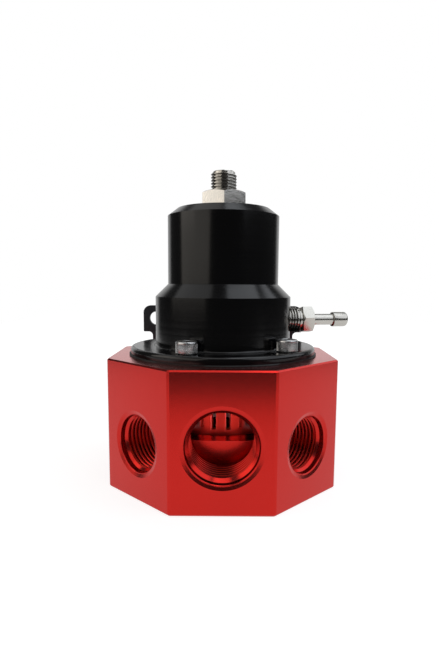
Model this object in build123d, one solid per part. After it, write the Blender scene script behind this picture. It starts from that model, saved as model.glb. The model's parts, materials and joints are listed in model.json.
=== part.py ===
from build123d import *
import math
import os

# Fuel pressure regulator of the return kind, with a boost-reference cover.
# Millimetres. Origin at the centre of the body's base, +Z up along the stem,
# front port towards -Y. Plan angles are counted from the front towards +X.

# Manifold body, an eight-sided block bored from above
BODY_ACROSS_FLATS = 95.25
BODY_H = 54.75
BODY_EDGE = 0.6
CHAMBER_R = 31.0
CHAMBER_FOOT_R = 1.6
CHAMBER_FLOOR_Z = 22.7
WELL_R = 21.5
WELL_DEPTH = 3.0

# Straight-thread ports: thread major diameter, mouth of the seal's seat, outer ring
FRONT_THREAD_D = 26.99
FRONT_MOUTH_D = 29.2
FRONT_RING_D = 31.8
FRONT_PORT_Z = 25.9
SIDE_THREAD_D = 22.23
SIDE_MOUTH_D = 24.0
SIDE_RING_D = 26.5
SIDE_PORT_Z = 23.0
SIDE_PORT_ANGLES = (-45, 45)
REAR_THREAD_D = 19.05
REAR_MOUTH_D = 20.8
REAR_RING_D = 23.3
REAR_PORT_ANGLES = (-135, 135)
PORT_END_R = 28.0
PORT_RING_DEPTH = 0.45
PORT_EDGE = 0.5
PORT_SEAT_L = 1.5
PORT_SEAT_TAPER = 0.25
RETURN_DEPTH = 16.5

# Slotted cage that guides the valve
CAGE_R = 10.6
CAGE_BORE_R = 8.6
CAGE_ROOM = 8.65
CAGE_FLANGE_T = 1.6
CAGE_FLANGE_GAP = 0.1
CAGE_BARS = 10
CAGE_CLOCKING = -3
CAGE_SLOT_W = 2.2
CAGE_SLOT_FOOT = 0.4
CAGE_SLOT_TOP = 4.5

# Valve seat, its seal and the ball
SEAT_FLANGE_R = 8.4
SEAT_FLANGE_T = 2.5
SEAT_SHANK_R = 6.35
SEAT_SHANK_GAP = 0.05
SEAT_SHANK_FOOT = 0.3
SEAT_NOSE_R = 6.0
SEAT_H = 5.8
SEAT_BORE_R = 4.1
SEAT_CONE_R = 5.0
SEAL_SECTION_R = 0.58
SEAL_GROOVE_W = 1.4
SEAL_GROOVE_DEPTH = 1.2
BALL_R = 6.35
BALL_POCKET_GAP = 0.05
BALL_LIP_R = 5.9
BALL_SEAT_GAP = 0.05

# Diaphragm and the parts clamped through its middle
DIAPHRAGM_R = 41.2
DIAPHRAGM_T = 0.65
ROLL_PLATE_GAP = 1.0
ROLL_COVER_GAP = 0.8
ROLL_HALF_W = 2.6
ROLL_RISE = 1.7
PLATE_R = 20.4
HOLDER_PLATE_T = 2.4
HUB_RUNNING_GAP = 0.06
CENTRE_STUD_R = 3.97
CENTRE_STUD_OVER = 1.0
STUD_HOLE_GAP = 0.05
UPPER_PLATE_T = 2.5
UPPER_PLATE_RIM_H = 3.0
UPPER_PLATE_RIM_T = 2.2
CENTRE_NUT_FLATS = 12.7
CENTRE_NUT_H = 4.8

# Control spring and its upper seat
SPRING_WIRE_D = 4.4
SPRING_MEAN_R = 13.5
SPRING_TURNS = 6
SPRING_RIM_GAP = 0.5
SPRING_SEAT_ROOM = 5.3
SPRING_SEAT_R = 17.5
SPRING_SEAT_T = 3.5
SPRING_PILOT_R = 10.8
SPRING_PILOT_H = 3.0
SPRING_SEAT_DIMPLE = 1.8

# Cover, a turned bell. Heights are counted from its flange's lower face.
FLANGE_R = 40.6
FLANGE_T = 3.1
FLANGE_EDGE_R = 1.5
NECK_FILLET_R = 0.8
LOWER_R = 29.67
LOWER_H = 24.4
UPPER_R = 24.16
CONE_H = 5.4
CAP_CHAMFER_H = 3.15
CAP_TOP_R = 20.06
COVER_H = 61.9
COVER_MOUTH_H = 3.0
LOWER_WALL = 4.3
UPPER_WALL = 4.5
CAP_T = 5.5
COVER_CLOCKING = 12.0

# Cover screws, M5 socket head
SCREW_HEAD_ROOM = 1.08
SCREW_HALF_ANGLE = 35.5
SCREW_D = 5.0
SCREW_LENGTH = 16.0
SCREW_HEAD_D = 8.5
SCREW_HEAD_H = 5.0
SCREW_HEAD_EDGE = 0.5
SCREW_KEY = 4.0
SCREW_KEY_DEPTH = 2.6
SCREW_HOLE_GAP = 0.05
SCREW_HOLE_SPARE = 1.0

# Adjusting screw 7/16-20 and its jam nut
STUD_D = 11.11
STUD_TOP_OVER_NUT = 8.5
STUD_EDGE = 0.8
STUD_RUNNING_GAP = 0.06
STUD_TIP_GAP = 0.1
STUD_TIP_R = 3.6
STUD_KEY = 4.76
STUD_KEY_DEPTH = 5.0
JAM_FLATS = 18.3
JAM_H = 7.35
JAM_TURN = 1.0

# Boost fitting, a hose barb. Distances are from the regulator's axis.
BOOST_ANGLE = COVER_CLOCKING + 90.0
BOOST_OVER_FLANGE = 13.9
BOOST_THREAD_D = 11.11
BOOST_THREAD_GAP = 0.05
BOOST_GROOVE_D = 9.5
BOOST_GROOVE_W = 1.2
BOOST_HEX_FROM = 36.3
BOOST_HEX_T = 5.4
BOOST_HEX_FLATS = 11.11
BOOST_HEX_TURN = 19.6
BOOST_STEM_D = 5.1
BOOST_BARB_FROM = 52.0
BOOST_BARB_D = 6.8
BOOST_BARB_L = 7.2
BOOST_BARB_ROUND = 1.5
BOOST_BORE_D = 2.6

# Mounting bracket, a flat plate on the rear face. Heights are from the body's top.
BRACKET_T = 3.0
EAR_HALF_W = 42.8
EAR_TOP = 18.8
EAR_FOOT = 4.7
EAR_CORNER_R = 3.8
NECK_HALF_W = 37.9
NECK_FOOT = -1.0
TONGUE_HALF_W = 17.5
TONGUE_SHOULDER = -9.0
TONGUE_FOOT = -27.0
BRACKET_CORNER_R = 3.0
BRACKET_INNER_R = 2.2
MOUNT_SLOT_X = 34.0
MOUNT_SLOT_Z = 11.9
MOUNT_SLOT_W = 7.2
MOUNT_SLOT_L = 11.0
BRACKET_SCREW_X = 10.5
BRACKET_SCREW_DROP = 18.0
BRACKET_SCREW_D = 6.0
BRACKET_SCREW_LENGTH = 12.0
BRACKET_HEAD_D = 11.0
BRACKET_HEAD_SUNK = 0.1
BRACKET_KEY = 4.0
BRACKET_KEY_DEPTH = 1.8
BRACKET_HOLE_GAP = 0.25

# Nuts and wrench flats: the turned face as a share of the flats, the slope of its edge
HEX_FACE_SHARE = 0.96
HEX_EDGE_ANGLE = 30.0

# A little extra so that cutters pass clear through a face
OVERCUT = 1.0

# Ways to stand a round bar on its origin
ON_FOOT = (Align.CENTER, Align.CENTER, Align.MIN)
ON_HEAD = (Align.CENTER, Align.CENTER, Align.MAX)

# Places worked out from the sizes above
BODY_HALF = BODY_ACROSS_FLATS / 2
WELL_FLOOR_Z = CHAMBER_FLOOR_Z - WELL_DEPTH
PORT_DEPTH = BODY_HALF - PORT_END_R
CAGE_H = BODY_H - HOLDER_PLATE_T - CAGE_ROOM - WELL_FLOOR_Z
FLANGE_Z = BODY_H + DIAPHRAGM_T
ROLL_R = PLATE_R + ROLL_PLATE_GAP + ROLL_HALF_W
COVER_MOUTH_R = ROLL_R + ROLL_HALF_W + ROLL_COVER_GAP
SEAT_TOP_Z = WELL_FLOOR_Z + SEAT_H
BALL_Z = SEAT_TOP_Z - SEAT_CONE_R + (BALL_R + BALL_SEAT_GAP) * math.sqrt(2)
POCKET_R = BALL_R + BALL_POCKET_GAP
HUB_FOOT_Z = BALL_Z - math.sqrt(POCKET_R**2 - BALL_LIP_R**2)
SPRING_FOOT_Z = FLANGE_Z + UPPER_PLATE_T
CAP_Z = FLANGE_Z + COVER_H
SPRING_SEAT_Z = CAP_Z - CAP_T - SPRING_SEAT_ROOM - SPRING_SEAT_T
SCREW_CIRCLE_R = LOWER_R + SCREW_HEAD_ROOM + SCREW_HEAD_D / 2
JAM_TOP_Z = CAP_Z + JAM_H
STUD_TOP_Z = JAM_TOP_Z + STUD_TOP_OVER_NUT
DIMPLE_Z = SPRING_SEAT_Z + SPRING_SEAT_T - SPRING_SEAT_DIMPLE
STUD_TIP_Z = DIMPLE_Z + STUD_TIP_GAP
BOOST_Z = FLANGE_Z + BOOST_OVER_FLANGE
SCREW_ANGLES = [
    COVER_CLOCKING + side + spread
    for side in (0, 180)
    for spread in (-SCREW_HALF_ANGLE, SCREW_HALF_ANGLE)
]


def turned(*outline, rounds=()):
    """Solid of revolution about Z from a closed outline of (radius, height) points."""
    radii = dict(rounds)
    edge = FilletPolyline(*outline, radius=[radii.get(at, 0) for at in range(len(outline))], close=True)
    return revolve(Plane.XZ * make_face(edge), axis=Axis.Z)


def heading(angle):
    """Unit vector in plan, counted from the front towards +X."""
    turn = math.radians(angle)
    return Vector(math.sin(turn), -math.cos(turn), 0)


def facing(angle, distance, height):
    """Place whose local +Z points outwards at a plan angle, with local +X level."""
    out = heading(angle)
    level = heading(angle + 90)
    return Plane(origin=out * distance + Vector(0, 0, height), x_dir=level, z_dir=out)


def on_circle(angle, height):
    """Place on the cover screws' circle at a plan angle, upright."""
    return Pos(*(heading(angle) * SCREW_CIRCLE_R + Vector(0, 0, height)))


def hexagon(flats, height):
    """Upright hexagon bar, standing on its origin, with a corner along -Y."""
    section = RegularPolygon(flats / 2, 6, major_radius=False, rotation=30)
    return extrude(section, height)


def hex_blank(flats, height, edge_angle):
    """Hexagon bar whose corners are turned off at both ends."""
    face_r = HEX_FACE_SHARE * flats / 2
    corner_r = flats / math.sqrt(3) + OVERCUT
    slope_h = (corner_r - face_r) * math.tan(math.radians(edge_angle))
    envelope = turned(
        (0, 0),
        (face_r, 0),
        (corner_r, slope_h),
        (corner_r, height - slope_h),
        (face_r, height),
        (0, height),
    )
    return hexagon(flats, height) & envelope


def port_cutter(thread_d, mouth_d, ring_d, depth):
    """Cutter for a straight-thread port, mouth at its origin: dished ring, seal seat, thread wall."""
    edge_r = mouth_d / 2 - PORT_EDGE
    edge_foot = -PORT_RING_DEPTH - PORT_EDGE
    seat_r = edge_r - PORT_SEAT_TAPER
    seat_foot = edge_foot - PORT_SEAT_L
    thread_from = seat_foot - (seat_r - thread_d / 2)
    return turned(
        (0, OVERCUT),
        (ring_d / 2, OVERCUT),
        (ring_d / 2, 0),
        (mouth_d / 2, -PORT_RING_DEPTH),
        (edge_r, edge_foot),
        (seat_r, seat_foot),
        (thread_d / 2, thread_from),
        (thread_d / 2, -depth),
        (0, -depth),
    )


def manifold_body():
    """Octagonal block with its chamber, well, ports and tapped holes."""
    section = RegularPolygon(BODY_HALF, 8, major_radius=False, rotation=22.5)
    block = extrude(section, BODY_H)
    block = chamfer(block.edges(), BODY_EDGE)
    chamber = turned(
        (0, CHAMBER_FLOOR_Z),
        (CHAMBER_R, CHAMBER_FLOOR_Z),
        (CHAMBER_R, BODY_H + OVERCUT),
        (0, BODY_H + OVERCUT),
        rounds={1: CHAMBER_FOOT_R},
    )
    well = Pos(0, 0, WELL_FLOOR_Z) * Cylinder(WELL_R, WELL_DEPTH + OVERCUT, align=ON_FOOT)
    seat_hole = Cylinder(SEAT_SHANK_R + SEAT_SHANK_GAP, 2 * WELL_FLOOR_Z)
    block -= chamber + well + seat_hole
    front = port_cutter(FRONT_THREAD_D, FRONT_MOUTH_D, FRONT_RING_D, PORT_DEPTH)
    block -= facing(0, BODY_HALF, FRONT_PORT_Z) * front
    side = port_cutter(SIDE_THREAD_D, SIDE_MOUTH_D, SIDE_RING_D, PORT_DEPTH)
    for angle in SIDE_PORT_ANGLES:
        block -= facing(angle, BODY_HALF, SIDE_PORT_Z) * side
    rear = port_cutter(REAR_THREAD_D, REAR_MOUTH_D, REAR_RING_D, PORT_DEPTH)
    for angle in REAR_PORT_ANGLES:
        block -= facing(angle, BODY_HALF, SIDE_PORT_Z) * rear
    below = port_cutter(SIDE_THREAD_D, SIDE_MOUTH_D, SIDE_RING_D, RETURN_DEPTH)
    block -= Rot(180, 0, 0) * below
    tapped_r = SCREW_D / 2 + SCREW_HOLE_GAP
    tapped_depth = SCREW_LENGTH - FLANGE_T - DIAPHRAGM_T + SCREW_HOLE_SPARE
    for angle in SCREW_ANGLES:
        block -= on_circle(angle, BODY_H) * Cylinder(tapped_r, 2 * tapped_depth)
    rear_depth = BRACKET_SCREW_LENGTH - BRACKET_T + SCREW_HOLE_SPARE
    for place in bracket_screw_places(BODY_HALF):
        block -= place * Cylinder(BRACKET_SCREW_D / 2 + SCREW_HOLE_GAP, 2 * rear_depth)
    return block


def valve_cage():
    """Turned sleeve with a wide foot flange, cut by upright slots into bars."""
    flange_r = WELL_R - CAGE_FLANGE_GAP
    sleeve = turned(
        (CAGE_BORE_R, 0),
        (flange_r, 0),
        (flange_r, CAGE_FLANGE_T),
        (CAGE_R, CAGE_FLANGE_T),
        (CAGE_R, CAGE_H),
        (CAGE_BORE_R, CAGE_H),
    )
    slot_foot = CAGE_FLANGE_T + CAGE_SLOT_FOOT
    slot_h = CAGE_H - CAGE_SLOT_TOP - slot_foot
    slot = Box(CAGE_SLOT_W, CAGE_R + OVERCUT, slot_h, align=(Align.CENTER, Align.MIN, Align.MIN))
    step = 360 / CAGE_BARS
    for bar in range(CAGE_BARS):
        turn = (bar + 0.5) * step + CAGE_CLOCKING
        sleeve -= Rot(0, 0, turn) * Pos(0, 0, slot_foot) * slot
    return Pos(0, 0, WELL_FLOOR_Z) * sleeve


def valve_seat():
    """Seat insert: flange on the well floor, shank through it, cone for the ball."""
    shank_foot = RETURN_DEPTH - WELL_FLOOR_Z + SEAT_SHANK_FOOT
    cone_foot = SEAT_H - (SEAT_CONE_R - SEAT_BORE_R)
    groove_r = SEAT_SHANK_R + SEAL_GROOVE_W
    insert = turned(
        (SEAT_BORE_R, shank_foot),
        (SEAT_SHANK_R, shank_foot),
        (SEAT_SHANK_R, SEAL_GROOVE_DEPTH),
        (groove_r, SEAL_GROOVE_DEPTH),
        (groove_r, 0),
        (SEAT_FLANGE_R, 0),
        (SEAT_FLANGE_R, SEAT_FLANGE_T),
        (SEAT_NOSE_R, SEAT_FLANGE_T),
        (SEAT_NOSE_R, SEAT_H),
        (SEAT_CONE_R, SEAT_H),
        (SEAT_BORE_R, cone_foot),
    )
    return Pos(0, 0, WELL_FLOOR_Z) * insert


def seat_o_ring():
    """Sealing ring in the groove under the seat's flange."""
    ring_r = SEAT_SHANK_R + SEAL_GROOVE_W / 2
    return Pos(0, 0, WELL_FLOOR_Z + SEAL_GROOVE_DEPTH / 2) * Torus(ring_r, SEAL_SECTION_R)


def valve_ball():
    """Closing ball, just off its seat."""
    return Pos(0, 0, BALL_Z) * Sphere(BALL_R)


def valve_holder():
    """Lower diaphragm plate, with the hub for the ball and the stud for the nut."""
    hub_r = CAGE_BORE_R - HUB_RUNNING_GAP
    plate_z = BODY_H - HOLDER_PLATE_T
    stud_top = SPRING_FOOT_Z + CENTRE_NUT_H + CENTRE_STUD_OVER
    blank = turned(
        (0, HUB_FOOT_Z),
        (hub_r, HUB_FOOT_Z),
        (hub_r, plate_z),
        (PLATE_R, plate_z),
        (PLATE_R, BODY_H),
        (CENTRE_STUD_R, BODY_H),
        (CENTRE_STUD_R, stud_top),
        (0, stud_top),
    )
    pocket = Sphere(POCKET_R) + Cylinder(POCKET_R, POCKET_R, align=ON_FOOT)
    return blank - Pos(0, 0, BALL_Z) * pocket


def diaphragm():
    """Moulded disc with one raised roll, clamped at its rim and pierced for the screws."""
    side = ROLL_HALF_W
    lift = ROLL_RISE
    under = ThreePointArc((ROLL_R + side, 0), (ROLL_R, lift), (ROLL_R - side, 0))
    over = ThreePointArc(
        (ROLL_R - side, DIAPHRAGM_T),
        (ROLL_R, lift + DIAPHRAGM_T),
        (ROLL_R + side, DIAPHRAGM_T),
    )
    bore_r = CENTRE_STUD_R + STUD_HOLE_GAP
    inner = Polyline(
        (ROLL_R - side, 0), (bore_r, 0), (bore_r, DIAPHRAGM_T), (ROLL_R - side, DIAPHRAGM_T)
    )
    outer = Polyline(
        (ROLL_R + side, DIAPHRAGM_T), (DIAPHRAGM_R, DIAPHRAGM_T), (DIAPHRAGM_R, 0), (ROLL_R + side, 0)
    )
    section = make_face(under + inner + over + outer)
    disc = Pos(0, 0, BODY_H) * revolve(Plane.XZ * section, axis=Axis.Z)
    for angle in SCREW_ANGLES:
        disc -= on_circle(angle, BODY_H) * Cylinder(SCREW_D / 2 + SCREW_HOLE_GAP, 4 * DIAPHRAGM_T)
    return disc


def diaphragm_plate():
    """Upper plate with the rim that keeps the spring central."""
    rim_r = SPRING_MEAN_R + SPRING_WIRE_D / 2 + SPRING_RIM_GAP
    hole_r = CENTRE_STUD_R + STUD_HOLE_GAP
    plate = turned(
        (hole_r, 0),
        (PLATE_R, 0),
        (PLATE_R, UPPER_PLATE_T),
        (rim_r + UPPER_PLATE_RIM_T, UPPER_PLATE_T),
        (rim_r + UPPER_PLATE_RIM_T, UPPER_PLATE_T + UPPER_PLATE_RIM_H),
        (rim_r, UPPER_PLATE_T + UPPER_PLATE_RIM_H),
        (rim_r, UPPER_PLATE_T),
        (hole_r, UPPER_PLATE_T),
    )
    return Pos(0, 0, FLANGE_Z) * plate


def diaphragm_nut():
    """Nut that clamps both plates on the holder's stud."""
    nut = hex_blank(CENTRE_NUT_FLATS, CENTRE_NUT_H, HEX_EDGE_ANGLE)
    nut -= Cylinder(CENTRE_STUD_R + STUD_HOLE_GAP, 4 * CENTRE_NUT_H)
    return Pos(0, 0, SPRING_FOOT_Z) * nut


def control_spring():
    """Coil spring between the plate and the upper seat, with ends ground flat."""
    height = SPRING_SEAT_Z - SPRING_FOOT_Z
    pitch = height / SPRING_TURNS
    coil = Helix(pitch, height, SPRING_MEAN_R)
    wire_end = Plane(origin=coil @ 0, z_dir=coil % 0)
    wire = sweep(wire_end * Circle(SPRING_WIRE_D / 2), path=coil, is_frenet=True)
    reach = SPRING_MEAN_R + SPRING_WIRE_D
    trim = Cylinder(reach, height, align=ON_FOOT)
    return Pos(0, 0, SPRING_FOOT_Z) * (wire & trim)


def spring_seat():
    """Upper spring cup, with a pilot inside the coil and a dimple for the screw."""
    disc = turned(
        (0, -SPRING_PILOT_H),
        (SPRING_PILOT_R, -SPRING_PILOT_H),
        (SPRING_PILOT_R, 0),
        (SPRING_SEAT_R, 0),
        (SPRING_SEAT_R, SPRING_SEAT_T),
        (0, SPRING_SEAT_T),
    )
    dimple_r = STUD_D / 2 + STUD_TIP_GAP
    dimple = Pos(0, 0, SPRING_SEAT_T) * Cylinder(dimple_r, 2 * SPRING_SEAT_DIMPLE)
    return Pos(0, 0, SPRING_SEAT_Z) * (disc - dimple)


def cover():
    """Turned bell: flange, lower drum, cone, upper drum and chamfered cap."""
    cone_top = LOWER_H + CONE_H
    shell = turned(
        (0, 0),
        (FLANGE_R, 0),
        (FLANGE_R, FLANGE_T),
        (LOWER_R, FLANGE_T),
        (LOWER_R, LOWER_H),
        (UPPER_R, cone_top),
        (UPPER_R, COVER_H - CAP_CHAMFER_H),
        (CAP_TOP_R, COVER_H),
        (0, COVER_H),
        rounds={2: FLANGE_EDGE_R, 3: NECK_FILLET_R},
    )
    lower_bore = LOWER_R - LOWER_WALL
    upper_bore = UPPER_R - UPPER_WALL
    mouth_slope = COVER_MOUTH_R - lower_bore
    cavity = turned(
        (0, -OVERCUT),
        (COVER_MOUTH_R, -OVERCUT),
        (COVER_MOUTH_R, COVER_MOUTH_H),
        (lower_bore, COVER_MOUTH_H + mouth_slope),
        (lower_bore, LOWER_H - LOWER_WALL / 2),
        (upper_bore, cone_top - UPPER_WALL / 2),
        (upper_bore, COVER_H - CAP_T),
        (0, COVER_H - CAP_T),
    )
    shell -= cavity
    shell -= Pos(0, 0, COVER_H) * Cylinder(STUD_D / 2 + STUD_RUNNING_GAP, 4 * CAP_T)
    shell = Pos(0, 0, FLANGE_Z) * shell
    for angle in SCREW_ANGLES:
        shell -= on_circle(angle, FLANGE_Z) * Cylinder(SCREW_D / 2 + SCREW_HOLE_GAP, 4 * FLANGE_T)
    boost_hole = Cylinder(BOOST_THREAD_D / 2 + BOOST_THREAD_GAP, 4 * LOWER_WALL)
    shell -= facing(BOOST_ANGLE, LOWER_R - LOWER_WALL / 2, BOOST_Z) * boost_hole
    return shell


def cover_screw(angle):
    """Socket-head cap screw, standing in its hole at a plan angle."""
    head = turned(
        (0, 0),
        (SCREW_HEAD_D / 2, 0),
        (SCREW_HEAD_D / 2, SCREW_HEAD_H - SCREW_HEAD_EDGE),
        (SCREW_HEAD_D / 2 - SCREW_HEAD_EDGE, SCREW_HEAD_H),
        (0, SCREW_HEAD_H),
    )
    shank = Cylinder(SCREW_D / 2, SCREW_LENGTH, align=ON_HEAD)
    key = Pos(0, 0, SCREW_HEAD_H - SCREW_KEY_DEPTH) * hexagon(SCREW_KEY, SCREW_KEY_DEPTH + OVERCUT)
    return on_circle(angle, FLANGE_Z + FLANGE_T) * (head + shank - key)


def adjusting_screw():
    """Threaded stud with a key socket in its top and a turned-down tip."""
    length = STUD_TOP_Z - STUD_TIP_Z
    stud_r = STUD_D / 2
    stud = turned(
        (0, 0),
        (STUD_TIP_R, 0),
        (stud_r, stud_r - STUD_TIP_R),
        (stud_r, length - STUD_EDGE),
        (stud_r - STUD_EDGE, length),
        (0, length),
    )
    key = Pos(0, 0, length - STUD_KEY_DEPTH) * hexagon(STUD_KEY, STUD_KEY_DEPTH + OVERCUT)
    return Pos(0, 0, STUD_TIP_Z) * (stud - key)


def jam_nut():
    """Hexagon nut on the stud, seated on the cap."""
    nut = hex_blank(JAM_FLATS, JAM_H, HEX_EDGE_ANGLE)
    nut -= Cylinder(STUD_D / 2 + STUD_RUNNING_GAP, 4 * JAM_H)
    return Pos(0, 0, CAP_Z) * Rot(0, 0, JAM_TURN) * nut


def boost_fitting():
    """Hose barb with a screwed end, a relief groove and a hexagon."""
    thread_r = BOOST_THREAD_D / 2
    groove_from = BOOST_HEX_FROM - BOOST_GROOVE_W
    tip = BOOST_BARB_FROM + BOOST_BARB_L
    core = turned(
        (0, LOWER_R - LOWER_WALL),
        (thread_r, LOWER_R - LOWER_WALL),
        (thread_r, groove_from),
        (BOOST_GROOVE_D / 2, groove_from),
        (BOOST_GROOVE_D / 2, BOOST_HEX_FROM + OVERCUT),
        (0, BOOST_HEX_FROM + OVERCUT),
    )
    stem = Pos(0, 0, BOOST_HEX_FROM) * Cylinder(BOOST_STEM_D / 2, tip - BOOST_HEX_FROM, align=ON_FOOT)
    barb = turned(
        (0, BOOST_BARB_FROM),
        (BOOST_BARB_D / 2, BOOST_BARB_FROM),
        (BOOST_BARB_D / 2, tip),
        (0, tip),
        rounds={2: BOOST_BARB_ROUND},
    )
    wrench_flats = Rot(0, 0, BOOST_HEX_TURN) * hex_blank(BOOST_HEX_FLATS, BOOST_HEX_T, HEX_EDGE_ANGLE)
    fitting = core + stem + barb + Pos(0, 0, BOOST_HEX_FROM) * wrench_flats
    fitting -= Cylinder(BOOST_BORE_D / 2, 4 * tip)
    return facing(BOOST_ANGLE, 0, BOOST_Z) * fitting


def bracket_screw_places(distance):
    """Places of the two bracket screws on the rear, at a distance from the axis."""
    height = BODY_H - BRACKET_SCREW_DROP
    return [facing(180, distance, height) * Pos(side * BRACKET_SCREW_X, 0, 0) for side in (-1, 1)]


def mounting_bracket():
    """Flat plate with two slotted ears above the body and a tongue on its rear face."""
    right = [
        (EAR_HALF_W, EAR_TOP),
        (EAR_HALF_W, EAR_FOOT),
        (NECK_HALF_W, EAR_FOOT),
        (NECK_HALF_W, NECK_FOOT),
        (TONGUE_HALF_W, TONGUE_SHOULDER),
        (TONGUE_HALF_W, TONGUE_FOOT),
    ]
    corners = [EAR_CORNER_R, BODY_EDGE, BRACKET_INNER_R, BRACKET_CORNER_R, BRACKET_CORNER_R, BRACKET_CORNER_R]
    left = [(-across, up) for across, up in reversed(right)]
    outline = FilletPolyline(*(right + left), radius=corners + corners[::-1], close=True)
    face = make_face(outline)
    for side in (-1, 1):
        face -= Pos(side * MOUNT_SLOT_X, MOUNT_SLOT_Z) * SlotOverall(MOUNT_SLOT_L, MOUNT_SLOT_W)
    plate = facing(180, BODY_HALF, BODY_H) * extrude(face, BRACKET_T)
    for place in bracket_screw_places(BODY_HALF + BRACKET_T):
        plate -= place * Cylinder(BRACKET_SCREW_D / 2 + BRACKET_HOLE_GAP, 4 * BRACKET_T)
        plate -= place * countersink(BRACKET_HOLE_GAP)
    return plate


def countersink(grow):
    """Cone of the countersunk head below its origin, grown by a clearance."""
    head_r = BRACKET_HEAD_D / 2 + grow
    shank_r = BRACKET_SCREW_D / 2 + grow
    return turned((0, 0), (head_r, 0), (shank_r, shank_r - head_r), (0, shank_r - head_r))


def bracket_screw(place):
    """Countersunk screw with a key socket, just below the plate's face."""
    shank = Cylinder(BRACKET_SCREW_D / 2, BRACKET_SCREW_LENGTH - BRACKET_HEAD_SUNK, align=ON_HEAD)
    key = Pos(0, 0, -BRACKET_KEY_DEPTH) * hexagon(BRACKET_KEY, BRACKET_KEY_DEPTH + OVERCUT)
    return place * Pos(0, 0, -BRACKET_HEAD_SUNK) * (countersink(0) + shank - key)


def all_parts():
    """Every sub-part by name."""
    parts = {
        "manifold_body": manifold_body(),
        "valve_cage": valve_cage(),
        "valve_seat": valve_seat(),
        "seat_o_ring": seat_o_ring(),
        "valve_ball": valve_ball(),
        "valve_holder": valve_holder(),
        "diaphragm": diaphragm(),
        "diaphragm_plate": diaphragm_plate(),
        "diaphragm_nut": diaphragm_nut(),
        "control_spring": control_spring(),
        "spring_seat": spring_seat(),
        "cover": cover(),
        "adjusting_screw": adjusting_screw(),
        "jam_nut": jam_nut(),
        "boost_fitting": boost_fitting(),
        "mounting_bracket": mounting_bracket(),
    }
    for number, angle in enumerate(SCREW_ANGLES, start=1):
        parts[f"cover_screw_{number}"] = cover_screw(angle)
    for number, place in enumerate(bracket_screw_places(BODY_HALF + BRACKET_T), start=1):
        parts[f"bracket_screw_{number}"] = bracket_screw(place)
    return parts


os.makedirs("parts", exist_ok=True)
for name, shape in all_parts().items():
    export_step(shape, f"parts/{name}.step")
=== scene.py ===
"""Looks of a return-style fuel pressure regulator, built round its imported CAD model.

Blender works in metres in the CAD's own frame: the origin is the centre of the body's base, +Z runs
up the stem and -Y out of the front port. Sizes in the classes are millimetres, as on a drawing, and
plan angles are degrees counted from the front towards +X.
"""

import json
import logging
import math
from collections.abc import Callable, Sequence
from dataclasses import dataclass, field
from enum import Enum

import bmesh
import bpy
from mathutils import Matrix, Vector


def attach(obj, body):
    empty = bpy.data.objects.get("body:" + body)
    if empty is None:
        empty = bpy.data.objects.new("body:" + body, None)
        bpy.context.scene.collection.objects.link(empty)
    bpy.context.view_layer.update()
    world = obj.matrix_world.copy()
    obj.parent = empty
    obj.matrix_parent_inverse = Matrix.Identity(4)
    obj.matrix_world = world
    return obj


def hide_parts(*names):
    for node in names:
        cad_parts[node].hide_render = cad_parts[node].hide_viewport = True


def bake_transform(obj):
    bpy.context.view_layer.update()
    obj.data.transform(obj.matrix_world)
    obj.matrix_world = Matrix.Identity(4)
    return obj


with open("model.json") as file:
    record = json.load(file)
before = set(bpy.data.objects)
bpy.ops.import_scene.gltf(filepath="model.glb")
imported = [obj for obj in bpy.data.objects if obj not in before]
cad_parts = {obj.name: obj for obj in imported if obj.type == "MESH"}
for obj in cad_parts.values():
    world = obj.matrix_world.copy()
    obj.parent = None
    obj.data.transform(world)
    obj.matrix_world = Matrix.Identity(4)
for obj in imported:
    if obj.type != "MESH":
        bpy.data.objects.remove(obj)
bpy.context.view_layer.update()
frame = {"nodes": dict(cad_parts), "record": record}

MM = 0.001
HOUSING = "housing"
LOG = logging.getLogger("regulator")

Row = Callable[[float], tuple[float, float]]
Colour = tuple[float, float, float, float]

MATH = "ShaderNodeMath"
NOISE = "ShaderNodeTexNoise"
VECTOR = "ShaderNodeCombineXYZ"
# A Mix node's sockets where it mixes colours: the two colours, and the result.
COLOUR_A, COLOUR_B, COLOUR_OUT = 6, 7, 2
# Noise values between which most of a pattern lies.
NOISE_LOW, NOISE_HIGH = 0.3, 0.7
# Octaves of noise in the drifting colour and in the fine pattern.
PATCH_DETAIL, FINE_DETAIL = 2.0, 1.0
# A face of a thread with less than this of its normal along the axis is a crest, else a flank.
FLANK_SLOPE = 0.3
# Points round a barrel, a port's mouth, a hexagon (a multiple of 12, so that its corners fall on
# points) and the chamber's cutter.
COLUMNS, MOUTH_COLUMNS, HEX_COLUMNS, CUTTER_COLUMNS = 96, 128, 120, 192
# A row with a smaller radius in millimetres than this is one point on the axis.
ON_AXIS = 1e-6
# Metres within which two points are one, and within which a point lies on a cutting plane.
WELD, ON_PLANE = 1e-6, 1e-7
# Edges of a bent piece made from a CAD mesh stay sharp beyond this many degrees.
CAD_SHARP = 40.0


def add_node(
    tree: bpy.types.NodeTree,
    kind: str,
    inputs: dict[str | int, object] | None = None,
    **settings: object,
) -> bpy.types.Node:
    """Adds a node with its settings, values and links.

    Args:
        tree: The node tree that gets the node.
        kind: The node's type name.
        inputs: For each input, by name or number, a value, a socket to link, or a node whose first
            output is linked.
        **settings: The node's own properties.

    Returns:
        The new node.
    """
    node = tree.nodes.new(kind)
    for name, value in settings.items():
        setattr(node, name, value)
    for key, value in (inputs or {}).items():
        source = value.outputs[0] if isinstance(value, bpy.types.Node) else value
        if isinstance(source, bpy.types.NodeSocket):
            tree.links.new(source, node.inputs[key])
        else:
            node.inputs[key].default_value = source
    return node


def add_object(name: str, data: bpy.types.ID) -> bpy.types.Object:
    """Makes an object of some data and links it to the scene.

    Args:
        name: The object's name.
        data: Its mesh, light or camera.

    Returns:
        The object.
    """
    made = bpy.data.objects.new(name, data)
    bpy.context.scene.collection.objects.link(made)
    return made


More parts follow.
